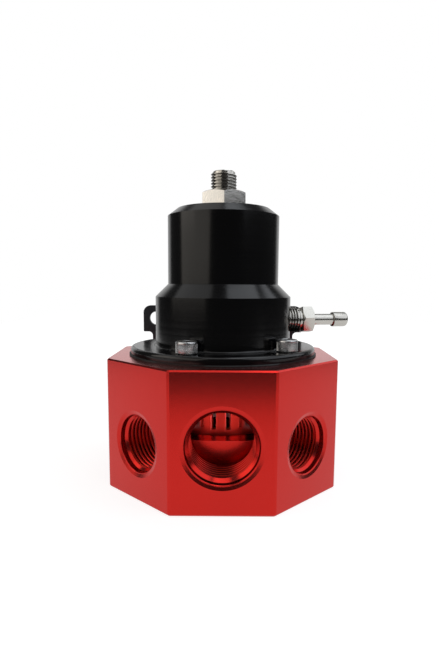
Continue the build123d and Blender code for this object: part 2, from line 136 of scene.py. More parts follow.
def linear(hex_text: str) -> Colour:
    """Turns an sRGB hex value such as C82018 into linear RGBA.

    Args:
        hex_text: Six hex digits.

    Returns:
        Linear red, green and blue with an alpha of 1.
    """
    parts = [int(hex_text[at : at + 2], 16) / 255 for at in (0, 2, 4)]
    r, g, b = [p / 12.92 if p <= 0.04045 else ((p + 0.055) / 1.055) ** 2.4 for p in parts]
    return (r, g, b, 1.0)


class Surface(Enum):
    """How a surface was made, which sets its fine relief."""

    GRAINED = "an even fine grain, as blasting, coating or moulding leaves"
    TURNED = "rings round an upright axis, as a lathe leaves"
    SMOOTH = "no relief, as plating or polishing leaves"


@dataclass(frozen=True)
class Finish:
    """One real finish and what it gives the eye.

    Attributes:
        name: The material's name.
        slot: The record's material slot that it paints.
        hex: Main colour, sRGB.
        shade_hex: Second colour that drifts through the first, sRGB.
        metallic: 1 for bare or dyed metal, 0 for paint and rubber, less than 1 for a matt skin.
        roughness: Mean roughness.
        swing: How far the roughness wanders to each side.
        surface: How the surface was made.
        pitch: Spacing of the grain or the rings in millimetres.
        relief: Strength of the grain or the rings.
        patch: Size of the drifting patches in millimetres.
        coat: Weight of a clear layer over the colour.
        coat_roughness: Roughness of that layer.
        axis_angle: Plan angle of a lathe axis that lies level; None where it is upright.
        axis_height: Height of that level axis.
    """

    name: str
    slot: str
    hex: str
    shade_hex: str
    metallic: float
    roughness: float
    swing: float
    surface: Surface
    pitch: float
    relief: float
    patch: float = 18.0
    coat: float = 0.0
    coat_roughness: float = 0.1
    axis_angle: float | None = None
    axis_height: float = 0.0

    def material(self) -> bpy.types.Material:
        """Builds the material, once only.

        Returns:
            The material.
        """
        known = bpy.data.materials.get(self.name)
        if known is not None:
            return known
        made = bpy.data.materials.new(self.name)
        made.use_nodes = True
        tree = made.node_tree
        shader = tree.nodes["Principled BSDF"]
        shader.inputs["Metallic"].default_value = self.metallic
        shader.inputs["Coat Weight"].default_value = self.coat
        shader.inputs["Coat Roughness"].default_value = self.coat_roughness
        place = add_node(tree, "ShaderNodeTexCoord").outputs["Object"]
        drift = add_node(
            tree, NOISE, {"Vector": place, "Scale": 1 / (self.patch * MM), "Detail": PATCH_DETAIL}
        )
        colour = add_node(
            tree,
            "ShaderNodeMix",
            {0: drift, COLOUR_A: linear(self.hex), COLOUR_B: linear(self.shade_hex)},
            data_type="RGBA",
        )
        tree.links.new(colour.outputs[COLOUR_OUT], shader.inputs["Base Color"])
        if self.surface is Surface.TURNED:
            place = self._round_axis(tree, place)
        fine = add_node(
            tree, NOISE, {"Vector": place, "Scale": 1 / (self.pitch * MM), "Detail": FINE_DETAIL}
        )
        level = add_node(
            tree,
            "ShaderNodeMapRange",
            {
                "Value": fine, "From Min": NOISE_LOW, "From Max": NOISE_HIGH,
                "To Min": self.roughness - self.swing, "To Max": self.roughness + self.swing,
            },
        )
        tree.links.new(level.outputs[0], shader.inputs["Roughness"])
        if self.surface is not Surface.SMOOTH:
            depth = self.pitch * MM / 2
            bump = add_node(
                tree, "ShaderNodeBump", {"Strength": self.relief, "Distance": depth, "Height": fine}
            )
            tree.links.new(bump.outputs[0], shader.inputs["Normal"])
        return made

    def _round_axis(
        self, tree: bpy.types.NodeTree, place: bpy.types.NodeSocket
    ) -> bpy.types.Node:
        """Folds the coordinates round the lathe's axis, so that a pattern on them runs in rings.

        Args:
            tree: The material's tree.
            place: The coordinates to read.

        Returns:
            The node that gives the folded coordinates.
        """
        if self.axis_angle is not None:
            turn = (math.radians(90), 0.0, math.radians(self.axis_angle))
            place = add_node(
                tree,
                "ShaderNodeMapping",
                {"Vector": place, "Location": (0, 0, self.axis_height * MM), "Rotation": turn},
                vector_type="TEXTURE",
            ).outputs[0]
        part = add_node(tree, "ShaderNodeSeparateXYZ", {0: place}).outputs
        level = add_node(tree, VECTOR, {0: part[0], 1: part[1]})
        radius = add_node(tree, "ShaderNodeVectorMath", {0: level}, operation="LENGTH")
        return add_node(tree, VECTOR, {0: radius.outputs["Value"], 2: part[2]})


# Dye-filled satin anodising on machined aluminium: saturated red metal under a clear oxide layer,
# whose white sheen shows at a shallow angle. Its grain is drawn coarser than real to show at all.
RED_ANODISED = Finish(
    "satin_red_anodised_aluminium", "red_anodised", "DC1D10", "D2190D", 1.0, 0.21, 0.03,
    Surface.GRAINED, 0.35, 0.05, patch=30.0, coat=0.5, coat_roughness=0.3,
)
# The crests of the tapped threads in a paler, matt red: a painted highlight that draws them as
# light lines.
RED_CREST_HIGHLIGHT = Finish(
    "red_anodised_crest_painted_highlight", "red_anodised", "FF5A48", "F04C3A", 0.5, 0.4, 0.04,
    Surface.GRAINED, 0.2, 0.05, patch=12.0,
)
# The same dye on the turned sleeve inside, left rougher by the tool, so that light spreads on it.
RED_SLEEVE = Finish(
    "matt_red_anodised_sleeve", "red_anodised", "C8231A", "BE2016", 0.25, 0.5, 0.04,
    Surface.TURNED, 0.3, 0.05, patch=12.0,
)
# Bright-dipped black anodising on a turned part: near black, with a soft sheen along its rings.
BLACK_ANODISED = Finish(
    "gloss_black_anodised_aluminium", "black_anodised", "050506", "08080A", 0.0, 0.17, 0.03,
    Surface.TURNED, 0.25, 0.05, patch=25.0,
)
# Bare turned aluminium that fuel has dulled: mid grey and matt, with visible tool rings.
PLAIN_ALUMINIUM = Finish(
    "turned_bare_aluminium", "plain_aluminium", "8C8A88", "7F7D7B", 1.0, 0.4, 0.06,
    Surface.TURNED, 0.3, 0.25, patch=12.0,
)
# Stainless bar turned on a lathe: pale warm grey, bright, with fine rings.
STAINLESS = Finish(
    "turned_stainless_steel", "stainless_steel", "E6E3DC", "DAD7D0", 1.0, 0.17, 0.04,
    Surface.TURNED, 0.22, 0.1, patch=6.0,
)
# The same steel on the level hose fitting, with its rings round the fitting's own axis.
FITTING_STAINLESS = Finish(
    "turned_stainless_fitting", "stainless_steel", "D8D5CE", "C6C3BC", 1.0, 0.21, 0.05,
    Surface.TURNED, 0.22, 0.1, patch=6.0, axis_angle=102.0, axis_height=69.3,
)
# The same steel, darker on the flanks that face a thread's foot: painted shade that draws the
# ridges as dark lines.
SHADED_FLANK_STAINLESS = Finish(
    "stainless_thread_painted_shade", "stainless_steel", "64615D", "575551", 1.0, 0.4, 0.04,
    Surface.TURNED, 0.22, 0.05, patch=6.0,
)
# The same steel on the knurled cap screws, whose fine ridges spread the light into a soft grey.
SCREW_STAINLESS = Finish(
    "knurled_stainless_steel", "stainless_steel", "DADADA", "CCCDCE", 1.0, 0.26, 0.03,
    Surface.TURNED, 0.22, 0.05, patch=6.0,
)
# Bright zinc on forged steel: a smooth mirror-like skin with faint cloudy patches.
ZINC = Finish(
    "bright_zinc_plated_steel", "zinc_steel", "EEEAE3", "DAD9D6", 1.0, 0.15, 0.05,
    Surface.GRAINED, 0.6, 0.08, patch=4.0,
)
# Thin black coating on rolled plate: dull and slightly blue, with a fine orange-peel grain.
BLACK_COATED = Finish(
    "black_coated_steel", "black_steel", "22252B", "2B2E35", 0.0, 0.45, 0.06,
    Surface.GRAINED, 0.4, 0.2, patch=10.0,
)
# Oiled spring wire, dark grey with a dull shine.
SPRING_STEEL = Finish(
    "oiled_spring_steel", "spring_steel", "6F7073", "5C5D61", 1.0, 0.32, 0.06,
    Surface.GRAINED, 0.5, 0.15, patch=8.0,
)
# Ground and polished bearing ball: close to a mirror, its mid grey painted darker as shade inside
# the chamber.
SHADED_BALL_STEEL = Finish(
    "polished_ball_steel_painted_shade", "ball_steel", "7C7A7A", "747272", 1.0, 0.12, 0.02,
    Surface.SMOOTH, 0.5, 0.0, patch=5.0,
)
# Turned brass, dull gold with fine rings, painted darker brown as shade inside the chamber.
SHADED_BRASS = Finish(
    "turned_brass_painted_shade", "seat_brass", "8F6B34", "80602E", 1.0, 0.35, 0.05,
    Surface.TURNED, 0.25, 0.15, patch=6.0,
)
# Moulded fuel-proof rubber, matt black.
RUBBER = Finish(
    "moulded_black_rubber", "black_rubber", "121212", "191919", 0.0, 0.55, 0.06,
    Surface.GRAINED, 0.4, 0.2, patch=8.0,
)
FINISHES = {
    finish.slot: finish
    for finish in (
        RED_ANODISED, BLACK_ANODISED, PLAIN_ALUMINIUM, STAINLESS, ZINC, BLACK_COATED,
        SPRING_STEEL, SHADED_BALL_STEEL, SHADED_BRASS, RUBBER,
    )
}


def heading(angle: float) -> Vector:
    """Unit vector in plan at an angle counted from the front towards +X."""
    turn = math.radians(angle)
    return Vector((math.sin(turn), -math.cos(turn), 0.0))


def facing(angle: float, distance: float, height: float) -> Matrix:
    """Place whose local +Z points outwards at a plan angle.

    Args:
        angle: Plan angle in degrees.
        distance: Distance from the stem's axis in millimetres.
        height: Height above the base in millimetres.

    Returns:
        The place as a matrix in metres.
    """
    out = heading(angle)
    across = heading(angle + 90)
    up = Vector((0.0, 0.0, 1.0))
    turn = Matrix((across, up, out)).transposed().to_4x4()
    return Matrix.Translation((out * distance + up * height) * MM) @ turn


def ring(radius: float, height: float) -> Row:
    """Row of a polar solid at one radius and height."""
    return lambda turn: (radius, height)


def flats(across: float, turn: float) -> float:
    """Distance from a hexagon's centre to its outline, which has a corner at 30 degrees.

    Args:
        across: Size across the flats.
        turn: Direction in radians.

    Returns:
        The distance in the units of the size.
    """
    sixth = math.pi / 3
    return across / 2 / math.cos((turn + sixth / 2) % sixth - sixth / 2)


def hex_row(across: float, height: float, face_r: float = 0.0, fall: float = 0.0) -> Row:
    """Row of a polar solid along a hexagon's outline.

    Args:
        across: Size across the flats.
        height: Height of the row where it isn't turned off.
        face_r: Radius inside which the end face stays flat.
        fall: How far the row drops for each millimetre beyond that radius, downwards if positive.

    Returns:
        The row.
    """

    def row(turn: float) -> tuple[float, float]:
        """Radius and height of the row in one direction."""
        reach = flats(across, turn)
        return reach, height - max(0.0, reach - face_r) * fall

    return row


def polar_solid(rows: Sequence[Row], columns: int, looped: bool = False) -> bpy.types.Mesh:
    """Closed solid from rows of points round an upright axis.

    Args:
        rows: Each row gives radius and height in millimetres for a direction in radians.
        columns: Points in each row.
        looped: True where the last row joins the first, for a solid with a hole through it.

    Returns:
        The mesh in metres, with its faces outwards.
    """
    build = bmesh.new()
    turns = [2 * math.pi * at / columns for at in range(columns)]
    rings: list[list[bmesh.types.BMVert]] = []
    for row in rows:
        radius, height = row(0.0)
        if radius < ON_AXIS:
            rings.append([build.verts.new((0.0, 0.0, height * MM))])
            continue
        verts = []
        for turn in turns:
            radius, height = row(turn)
            spot = Vector((radius * math.cos(turn), radius * math.sin(turn), height))
            verts.append(build.verts.new(spot * MM))
        rings.append(verts)
    pairs = list(zip(rings, rings[1:]))
    if looped:
        pairs.append((rings[-1], rings[0]))
    for low, high in pairs:
        for at in range(columns):
            after = (at + 1) % columns
            corners = [
                low[at % len(low)], low[after % len(low)],
                high[after % len(high)], high[at % len(high)],
            ]
            distinct = list(dict.fromkeys(corners))
            if len(distinct) > 2:
                build.faces.new(distinct)
    bmesh.ops.recalc_face_normals(build, faces=build.faces)
    mesh = bpy.data.meshes.new("polar_solid")
    build.to_mesh(mesh)
    build.free()
    return mesh


def rounded(
    outline: Sequence[tuple[float, float]], rounds: dict[int, float], steps: int = 8
) -> list[Row]:
    """Rows for a turned outline with some of its corners rounded.

    Args:
        outline: Points of radius and height in millimetres.
        rounds: Radius of the round at a corner, by the corner's place in the outline.
        steps: Pieces that each round is made of.

    Returns:
        The rows in order.
    """
    rows: list[Row] = []
    for at, point in enumerate(outline):
        if at not in rounds:
            rows.append(ring(*point))
            continue
        here = Vector(point)
        back = (Vector(outline[at - 1]) - here).normalized()
        ahead = (Vector(outline[(at + 1) % len(outline)]) - here).normalized()
        half = back.angle(ahead) / 2
        centre = here + (back + ahead).normalized() * (rounds[at] / math.sin(half))
        reach = rounds[at] / math.tan(half)
        first = here + back * reach - centre
        sweep = first.angle_signed(here + ahead * reach - centre)
        for step in range(steps + 1):
            turn = -sweep * step / steps
            spoke = Matrix.Rotation(turn, 2) @ first
            rows.append(ring(*(centre + spoke)))
    return rows


def join(
    name: str, meshes: Sequence[bpy.types.Mesh], finish: Finish, sharp: float = 28.0
) -> bpy.types.Object:
    """Makes one object of several meshes, smooth but for its sharp edges.

    Args:
        name: The piece's name.
        meshes: Meshes already in place.
        finish: Its finish.
        sharp: Edges that bend by more than this many degrees stay sharp.

    Returns:
        The object, linked to the scene.
    """
    build = bmesh.new()
    for mesh in meshes:
        build.from_mesh(mesh)
    whole = bpy.data.meshes.new(name)
    build.to_mesh(whole)
    build.free()
    whole.materials.clear()
    whole.materials.append(finish.material())
    whole.polygons.foreach_set("material_index", [0] * len(whole.polygons))
    whole.shade_smooth()
    whole.set_sharp_from_angle(angle=math.radians(sharp))
    return add_object(name, whole)


def plain_mesh(made: bpy.types.Object) -> bpy.types.Mesh:
    """Runs an object's modifiers and takes them off it.

    Args:
        made: The object.

    Returns:
        The mesh that they give.
    """
    graph = bpy.context.evaluated_depsgraph_get()
    mesh = bpy.data.meshes.new_from_object(made.evaluated_get(graph), depsgraph=graph)
    made.modifiers.clear()
    return mesh


class GrowingTree:
    """A geometry node tree with named inputs, grown into a plain mesh."""

    def __init__(self, name: str, sizes: dict[str, float], whole: Sequence[str] = ()) -> None:
        """Starts the tree.

        Args:
            name: The tree's name.
            sizes: Named number inputs with their defaults.
            whole: The names among them that are whole numbers.
        """
        self.tree = bpy.data.node_groups.new(name, "GeometryNodeTree")
        face = self.tree.interface
        face.new_socket(name="Start", in_out="INPUT", socket_type="NodeSocketGeometry")
        for label, value in sizes.items():
            kind = "NodeSocketInt" if label in whole else "NodeSocketFloat"
            face.new_socket(name=label, in_out="INPUT", socket_type=kind).default_value = value
        face.new_socket(name="Finish", in_out="INPUT", socket_type="NodeSocketMaterial")
        face.new_socket(name="Shape", in_out="OUTPUT", socket_type="NodeSocketGeometry")
        self.inputs = add_node(self.tree, "NodeGroupInput").outputs

    def end(self, shape: bpy.types.Node) -> None:
        """Ends the tree with real geometry and its material.

        Args:
            shape: The node that gives the shape.
        """
        real = add_node(self.tree, "GeometryNodeRealizeInstances", {"Geometry": shape})
        painted = add_node(
            self.tree,
            "GeometryNodeSetMaterial",
            {"Geometry": real, "Material": self.inputs["Finish"]},
        )
        add_node(self.tree, "NodeGroupOutput", {0: painted})

    def grow(
        self, finish: Finish, sizes: dict[str, float], start: bpy.types.Mesh | None = None
    ) -> bpy.types.Mesh:
        """Runs the tree.

        Args:
            finish: The finish it is painted with.
            sizes: Values for the named inputs.
            start: The mesh that the tree repeats, where it repeats one.

        Returns:
            The mesh, with no modifier behind it.
        """
        holder = add_object("growing", start or bpy.data.meshes.new("growing"))
        modifier = holder.modifiers.new("grow", "NODES")
        modifier.node_group = self.tree
        sockets = {item.name: item.identifier for item in self.tree.interface.items_tree}
        modifier[sockets["Finish"]] = finish.material()
        for label, value in sizes.items():
            modifier[sockets[label]] = value
        mesh = plain_mesh(holder)
        bpy.data.objects.remove(holder)
        return mesh


class ThreadTree(GrowingTree):
    """A right-hand screw thread: one trapezoid ridge that climbs a helix along +Z."""

    end_share: float = 0.02

    def __init__(self) -> None:
        """Builds the tree."""
        super().__init__(
            "screw_thread",
            {
                "Wall Radius": 5e-3, "Length": 5e-3, "Turns": 5.0, "Ridge": 7e-4, "Middle": 3e-4,
                "Root": 9e-4, "Crest": 1e-4, "Side": math.pi / 2, "Growth": 20.0, "Steps": 64,
            },
            whole=("Steps",),
        )
        tree, size = self.tree, self.inputs
        helix = add_node(
            tree,
            "GeometryNodeCurveSpiral",
            {
                "Resolution": size["Steps"], "Rotations": size["Turns"], "Height": size["Length"],
                "Start Radius": size["Wall Radius"], "End Radius": size["Wall Radius"],
                "Reverse": False,
            },
        )
        upright = add_node(tree, "GeometryNodeSetCurveNormal", {"Curve": helix}, mode="Z_UP")
        section = add_node(
            tree,
            "GeometryNodeCurvePrimitiveQuadrilateral",
            {
                "Height": size["Ridge"], "Bottom Width": size["Root"], "Top Width": size["Crest"],
                "Offset": 0.0,
            },
            mode="TRAPEZOID",
        )
        middle = add_node(tree, VECTOR, {1: size["Middle"]})
        raised = add_node(
            tree, "GeometryNodeTransform", {"Geometry": section, "Translation": middle}
        )
        side = add_node(tree, VECTOR, {2: size["Side"]})
        turned = add_node(tree, "GeometryNodeTransform", {"Geometry": raised, "Rotation": side})
        # The ridge swells from almost nothing at each end, as the run-out of a real thread does.
        along = add_node(tree, "GeometryNodeSplineParameter")
        left = add_node(tree, MATH, {0: 1.0, 1: along}, operation="SUBTRACT")
        near_end = add_node(tree, MATH, {0: along, 1: left}, operation="MINIMUM")
        grown = add_node(
            tree,
            MATH,
            {0: near_end, 1: size["Growth"], 2: self.end_share},
            operation="MULTIPLY_ADD",
        )
        swell = add_node(tree, MATH, {0: 1.0, 1: grown}, operation="MINIMUM")
        ridge = add_node(
            tree,
            "GeometryNodeCurveToMesh",
            {"Curve": upright, "Profile Curve": turned, "Scale": swell, "Fill Caps": True},
        )
        self.end(ridge)


class KnurlTree(GrowingTree):
    """Straight knurling: thin upright wedges round a drum."""

    def __init__(self) -> None:
        """Builds the tree."""
        super().__init__(
            "straight_knurl",
            {
                "Count": 40, "Step": 0.15, "Drum Radius": 4e-3, "Wedge": 3e-4, "Height": 3e-3,
                "Lift": 0.0,
            },
            whole=("Count",),
        )
        tree, size = self.tree, self.inputs
        places = add_node(
            tree,
            "GeometryNodeMeshCircle",
            {"Vertices": size["Count"], "Radius": size["Drum Radius"]},
        )
        wedge = add_node(
            tree,
            "GeometryNodeMeshCylinder",
            {"Vertices": 4, "Radius": size["Wedge"], "Depth": size["Height"]},
        )
        number = add_node(tree, "GeometryNodeInputIndex")
        turn = add_node(tree, MATH, {0: number, 1: size["Step"]}, operation="MULTIPLY")
        stood = add_node(
            tree,
            "GeometryNodeInstanceOnPoints",
            {"Points": places, "Instance": wedge, "Rotation": add_node(tree, VECTOR, {2: turn})},
        )
        lift = add_node(tree, VECTOR, {2: size["Lift"]})
        self.end(
            add_node(tree, "GeometryNodeTransform", {"Geometry": stood, "Translation": lift})
        )


class ScrewCircleTree(GrowingTree):
    """Copies of one screw on a circle, in two pairs on opposite sides."""

    def __init__(self) -> None:
        """Builds the tree."""
        super().__init__(
            "screws_on_a_circle",
            {"Circle": 3e-2, "First Turn": 0.0, "Pair Turn": 1.0, "Height": 0.0},
        )
        tree, size = self.tree, self.inputs
        places = add_node(tree, "GeometryNodeMeshLine", {"Count": 4, "Offset": (0.0, 0.0, 0.0)})
        number = add_node(tree, "GeometryNodeInputIndex")
        half = add_node(tree, MATH, {0: number, 1: 2.0}, operation="DIVIDE")
        pair = add_node(tree, MATH, {0: half}, operation="FLOOR")
        second = add_node(tree, MATH, {0: number, 1: 2.0}, operation="MODULO")
        within = add_node(
            tree,
            MATH,
            {0: second, 1: size["Pair Turn"], 2: size["First Turn"]},
            operation="MULTIPLY_ADD",
        )
        turn = add_node(
            tree, MATH, {0: pair, 1: math.pi, 2: within}, operation="MULTIPLY_ADD"
        )
        copies = add_node(
            tree,
            "GeometryNodeInstanceOnPoints",
            {
                "Points": places, "Instance": size["Start"],
                "Rotation": add_node(tree, VECTOR, {2: turn}),
            },
        )
        # Each copy moves out along its own front, which is -Y before it is turned.
        front = add_node(tree, MATH, {0: size["Circle"], 1: -1.0}, operation="MULTIPLY")
        spot = add_node(tree, VECTOR, {1: front, 2: size["Height"]})
        self.end(
            add_node(
                tree,
                "GeometryNodeTranslateInstances",
                {"Instances": copies, "Translation": spot, "Local Space": True},
            )
        )


@dataclass(frozen=True)
class Thread:
    """A standard screw thread.

    Attributes:
        major: Major diameter.
        pitch: Distance from crest to crest.
        screw_share: Depth on a screw, as a share of the pitch: the full depth.
        tapped_share: Depth in a tapped hole, as a share of the pitch: about three quarters.
        width_share: Width of the ridge at its root, as a share of the pitch.
        flank: Angle of a flank in degrees.
        sunk: How far the ridge's root lies in the metal.
        run_out: Turns over which the ridge fades at each end.
        steps: Points on each turn.
    """

    major: float
    pitch: float
    screw_share: float = 0.613
    tapped_share: float = 0.46
    width_share: float = 0.875
    flank: float = 30.0
    sunk: float = 0.07
    run_out: float = 0.3
    steps: int = 72

    def depth(self, inside: bool) -> float:
        """Depth of the ridge, in a tapped hole or on a screw."""
        return (self.tapped_share if inside else self.screw_share) * self.pitch

    def minor(self, inside: bool) -> float:
        """Minor radius, in a tapped hole or on a screw."""
        return self.major / 2 - self.depth(inside)

    def ridge(
        self, tree: ThreadTree, finish: Finish, start: float, end: float, inside: bool = False
    ) -> bpy.types.Mesh:
        """Grows the thread's ridge round +Z.

        Args:
            tree: The thread tree.
            finish: Finish of the metal it is cut in.
            start: Where the ridge starts along the axis.
            end: Where it ends.
            inside: True for a tapped hole, whose ridge points inwards from the major diameter.

        Returns:
            The ridge's mesh.
        """
        spread = 2 * math.tan(math.radians(self.flank))
        crest = self.width_share * self.pitch - spread * self.depth(inside)
        full = self.depth(inside) + self.sunk
        turns = (end - start) / self.pitch
        mesh = tree.grow(
            finish,
            {
                "Wall Radius": (self.major / 2 if inside else self.minor(inside)) * MM,
                "Length": (end - start) * MM, "Turns": turns, "Ridge": full * MM,
                "Middle": (full / 2 - self.sunk) * MM, "Root": (crest + spread * full) * MM,
                "Crest": crest * MM, "Side": -math.pi / 2 if inside else math.pi / 2,
                "Growth": turns / self.run_out, "Steps": self.steps,
            },
        )
        mesh.transform(Matrix.Translation((0, 0, start * MM)))
        return mesh

    def paint_flank_shade(self, mesh: bpy.types.Mesh, low: float, high: float) -> None:
        """Gives the flanks that face the foot of an outside thread the darker finish: a painted
        shade.

        Args:
            mesh: The threaded part's mesh, standing on the thread's axis.
            low: Where the thread starts along its axis.
            high: Where it ends.
        """
        mesh.materials.append(SHADED_FLANK_STAINLESS.material())
        inner_r = self.minor(inside=False) - self.sunk
        for face in mesh.polygons:
            reach, at = face.center.xy.length / MM, face.center.z / MM
            on_ridge = inner_r < reach < self.major / 2 and low < at < high
            # Flanks that face the foot get painted shade.
            if on_ridge and face.normal.z < -FLANK_SLOPE:
                face.material_index = 1


@dataclass
class Port:
    """One tapped port of the manifold.

    Attributes:
        name: The piece's name.
        angle: Plan angle of the face it is in.
        height: Height of its axis above the base.
        thread: Its thread.
        mouth: Diameter of its mouth.
        face_distance: Distance of that face from the stem's axis.
        chamber_r: Radius of the chamber behind it.
        floor_z: Height of the chamber's floor.
        end_r: Distance from the stem's axis at which the port ends.
        ring_depth: Depth of the ring cut round the mouth.
        edge: Width and depth of the broken edge inside that ring.
        seat_length: Length of the taper behind the edge.
        seat_taper: How much the taper narrows its radius.
        run_out: Length at the port's end that has no thread.
        lip: Rows of the rounded lip: distance inside the mouth's radius, and below the ring.
        skin: How far the skin stands off the seat's wall.
        land: Length of the plain bore between the taper and the thread.
        sunk: How far the skin's last row lies in the metal.
        crest_reach: How far from the minor radius a face may lie and still be a crest.
    """

    name: str
    angle: float
    height: float
    thread: Thread
    mouth: float
    face_distance: float = 47.625
    chamber_r: float = 31.0
    floor_z: float = 22.7
    end_r: float = 28.0
    ring_depth: float = 0.45
    edge: float = 0.5
    seat_length: float = 1.5
    seat_taper: float = 0.25
    run_out: float = 2.2
    lip: tuple[tuple[float, float], ...] = ((-0.1, 0.03), (0.36, 0.11), (0.5, 0.27))
    skin: float = 0.03
    land: float = 0.25
    sunk: float = 0.07
    crest_reach: float = 0.05

    def build(self, tree: ThreadTree) -> bpy.types.Object:
        """Makes the thread and the skin of its mouth.

        Args:
            tree: The thread tree.

        Returns:
            The piece.
        """
        minor = self.thread.minor(inside=True)
        mouth_r, wall = self.mouth / 2, self.thread.major / 2
        lip_at = self.face_distance - self.ring_depth
        seat_r = mouth_r - self.edge - self.seat_taper
        seat_at = lip_at - self.edge - self.seat_length
        bore_at = seat_at - (seat_r - minor)
        ridge = self.thread.ridge(
            tree, RED_ANODISED, self.end_r + self.run_out, bore_at, inside=True
        )
        rows = [ring(mouth_r - inwards, lip_at - down) for inwards, down in self.lip]
        rows += [
            ring(seat_r - self.skin, seat_at), ring(minor, bore_at),
            ring(minor, bore_at - self.land), ring(wall + self.sunk, bore_at - self.land),
        ]
        lead_in = polar_solid(rows, MOUTH_COLUMNS, looped=True)
        piece = join(self.name, [ridge, lead_in], RED_ANODISED)
        self._paint_crest_highlight(piece.data, minor)
        piece.data.transform(facing(self.angle, 0.0, self.height))
        self._open_to_chamber(piece)
        return piece

    def _paint_crest_highlight(self, mesh: bpy.types.Mesh, minor: float) -> None:
        """Gives the faces at the thread's minor radius the paler crest finish: a painted highlight.

        Args:
            mesh: The thread's mesh, standing on the port's axis.
            minor: The minor radius in millimetres.
        """
        # The crests get the paler red of a painted highlight.
        mesh.materials.append(RED_CREST_HIGHLIGHT.material())
        reach = (minor + self.crest_reach) * MM
        for face in mesh.polygons:
            if abs(face.normal.z) < FLANK_SLOPE and face.center.xy.length < reach:
                face.material_index = 1

    def _open_to_chamber(self, piece: bpy.types.Object) -> None:
        """Cuts away the ridge where the chamber has already taken the port's wall.

        Args:
            piece: The piece, in its place.
        """
        low, high = self.floor_z, 2 * self.floor_z
        rows = [ring(0, low), ring(self.chamber_r, low), ring(self.chamber_r, high), ring(0, high)]
        cutter = add_object("chamber_cutter", polar_solid(rows, CUTTER_COLUMNS))
        cut = piece.modifiers.new("chamber", "BOOLEAN")
        cut.operation = "DIFFERENCE"
        cut.solver = "EXACT"
        cut.object = cutter
        old, mesh = piece.data, plain_mesh(piece)
        piece.data = mesh
        mesh.name = self.name
        bpy.data.meshes.remove(old)
        bpy.data.objects.remove(cutter)


@dataclass
class Manifold:
    """The red body: its CAD solid with the threads of its ports."""

    front_z: float = 25.9
    side_z: float = 23.0
    front: Thread = Thread(26.99, 2.117)
    side: Thread = Thread(22.23, 1.814)
    rear: Thread = Thread(19.05, 1.588)
    # Heights at which the return port's lead-in starts and its thread ends.
    return_from: float = 2.585
    return_to: float = 14.5
    sunk: float = 0.06
    land: float = 0.25

    def ports(self) -> list[Port]:
        """Lists the ports in the body's sides.

        Returns:
            The ports, the front one first.
        """
        return [
            Port("front_port_thread", 0.0, self.front_z, self.front, 29.2),
            Port("left_front_port_thread", -45.0, self.side_z, self.side, 24.0),
            Port("right_front_port_thread", 45.0, self.side_z, self.side, 24.0),
            Port("left_rear_port_thread", -135.0, self.side_z, self.rear, 20.8),
            Port("right_rear_port_thread", 135.0, self.side_z, self.rear, 20.8),
        ]

    def build(self, tree: ThreadTree) -> list[bpy.types.Object]:
        """Builds the threads of every port, the return port's too.

        Args:
            tree: The thread tree.

        Returns:
            The pieces.
        """
        made = [port.build(tree) for port in self.ports()]
        made.append(self._return_port(tree))
        for piece in made:
            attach(piece, HOUSING)
        return made

    def _return_port(self, tree: ThreadTree) -> bpy.types.Object:
        """Makes the thread and the lead-in of the port in the base.

        Args:
            tree: The thread tree.

        Returns:
            The piece.
        """
        minor, wall = self.side.minor(inside=True), self.side.major / 2
        bore_at = self.return_from + wall - minor
        ridge = self.side.ridge(tree, RED_ANODISED, bore_at, self.return_to, inside=True)
        rows = [
            ring(wall + self.sunk, self.return_from), ring(wall, self.return_from),
            ring(minor, bore_at), ring(minor, bore_at + self.land),
            ring(wall + self.sunk, bore_at + self.land),
        ]
        lead_in = polar_solid(rows, MOUTH_COLUMNS, looped=True)
        return join("return_port_thread", [ridge, lead_in], RED_ANODISED)


